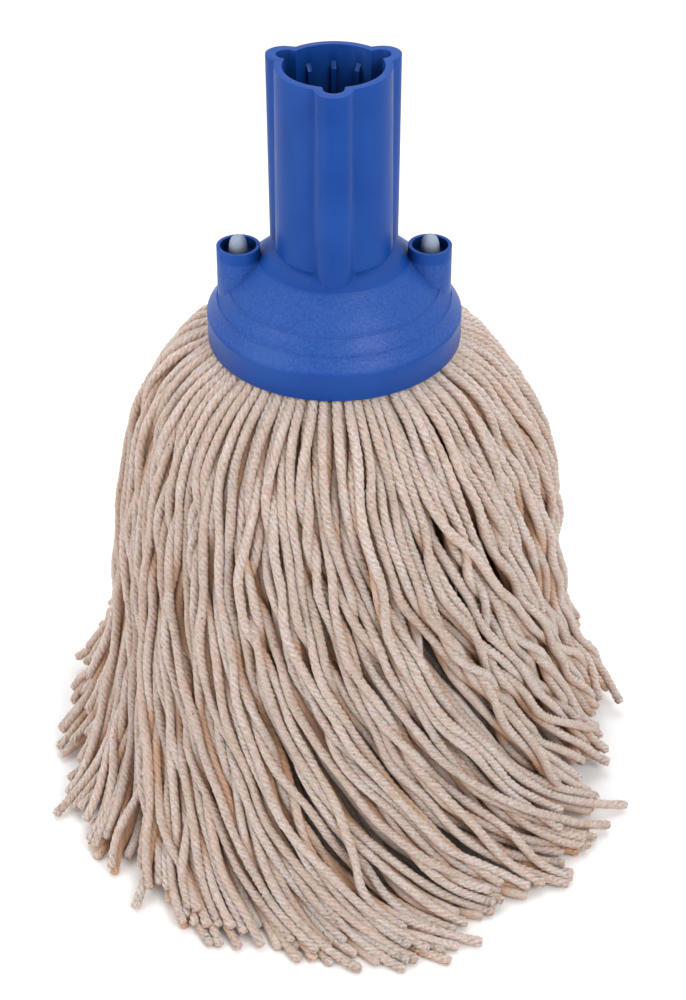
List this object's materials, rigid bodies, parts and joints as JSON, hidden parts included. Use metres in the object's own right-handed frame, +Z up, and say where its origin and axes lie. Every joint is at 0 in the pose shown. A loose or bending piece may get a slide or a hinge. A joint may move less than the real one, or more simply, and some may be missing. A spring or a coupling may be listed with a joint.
{
  "type": "string mop head",
  "caption": "Socket mop head: moulded three-lobe handle socket over a bell of loose twisted cotton yarn, held by a pinned clamp bar.",
  "frame": {"origin": "on the floor under the socket's axis, at the centre of the yarn's spread", "axes": "+Z up along the socket's axis; -Y is the front, where one lobe of the tube points; the two posts are at -X and +X"},
  "size_m": [0.2362, 0.2394, 0.275],
  "materials": {
    "blue_plastic": "satin moulded",
    "white_plastic": "milky, natural",
    "cotton_yarn": "unbleached twisted cotton"
  },
  "bodies": {
    "root": {"mop_socket": "blue_plastic", "clamp_pin_left": "white_plastic", "clamp_pin_right": "white_plastic", "clamp_bar": "white_plastic", "yarn_fold": "cotton_yarn", "inner_hank_1": "cotton_yarn", "inner_hank_2": "cotton_yarn", "inner_hank_3": "cotton_yarn", "inner_hank_4": "cotton_yarn", "inner_hank_5": "cotton_yarn", "inner_hank_6": "cotton_yarn"},
    "lock_01": {"outer_lock_01": "cotton_yarn"},
    "lock_02": {"outer_lock_02": "cotton_yarn"},
    "lock_03": {"outer_lock_03": "cotton_yarn"},
    "lock_04": {"outer_lock_04": "cotton_yarn"},
    "lock_05": {"outer_lock_05": "cotton_yarn"},
    "lock_06": {"outer_lock_06": "cotton_yarn"},
    "lock_07": {"outer_lock_07": "cotton_yarn"},
    "lock_08": {"outer_lock_08": "cotton_yarn"},
    "lock_09": {"outer_lock_09": "cotton_yarn"},
    "lock_10": {"outer_lock_10": "cotton_yarn"}
  },
  "joints": [
    {"name": "lock_swing_01", "type": "hinge", "parent": "root", "child": "lock_01", "pos_m": [0.04185, 0.0136, 0.181], "axis": [0.309, -0.9511, 0], "range_deg": [0, 60]},
    {"name": "lock_swing_02", "type": "hinge", "parent": "root", "child": "lock_02", "pos_m": [0.02586, 0.0356, 0.181], "axis": [0.809, -0.5878, 0], "range_deg": [0, 60]},
    {"name": "lock_swing_03", "type": "hinge", "parent": "root", "child": "lock_03", "pos_m": [0, 0.044, 0.181], "axis": [1, 0, 0], "range_deg": [0, 60]},
    {"name": "lock_swing_04", "type": "hinge", "parent": "root", "child": "lock_04", "pos_m": [-0.02586, 0.0356, 0.181], "axis": [0.809, 0.5878, 0], "range_deg": [0, 60]},
    {"name": "lock_swing_05", "type": "hinge", "parent": "root", "child": "lock_05", "pos_m": [-0.04185, 0.0136, 0.181], "axis": [0.309, 0.9511, 0], "range_deg": [0, 60]},
    {"name": "lock_swing_06", "type": "hinge", "parent": "root", "child": "lock_06", "pos_m": [-0.04185, -0.0136, 0.181], "axis": [-0.309, 0.9511, 0], "range_deg": [0, 60]},
    {"name": "lock_swing_07", "type": "hinge", "parent": "root", "child": "lock_07", "pos_m": [-0.02586, -0.0356, 0.181], "axis": [-0.809, 0.5878, 0], "range_deg": [0, 60]},
    {"name": "lock_swing_08", "type": "hinge", "parent": "root", "child": "lock_08", "pos_m": [0, -0.044, 0.181], "axis": [-1, 0, 0], "range_deg": [0, 60]},
    {"name": "lock_swing_09", "type": "hinge", "parent": "root", "child": "lock_09", "pos_m": [0.02586, -0.0356, 0.181], "axis": [-0.809, -0.5878, 0], "range_deg": [0, 60]},
    {"name": "lock_swing_10", "type": "hinge", "parent": "root", "child": "lock_10", "pos_m": [0.04185, -0.0136, 0.181], "axis": [-0.309, -0.9511, 0], "range_deg": [0, 60]}
  ]
}
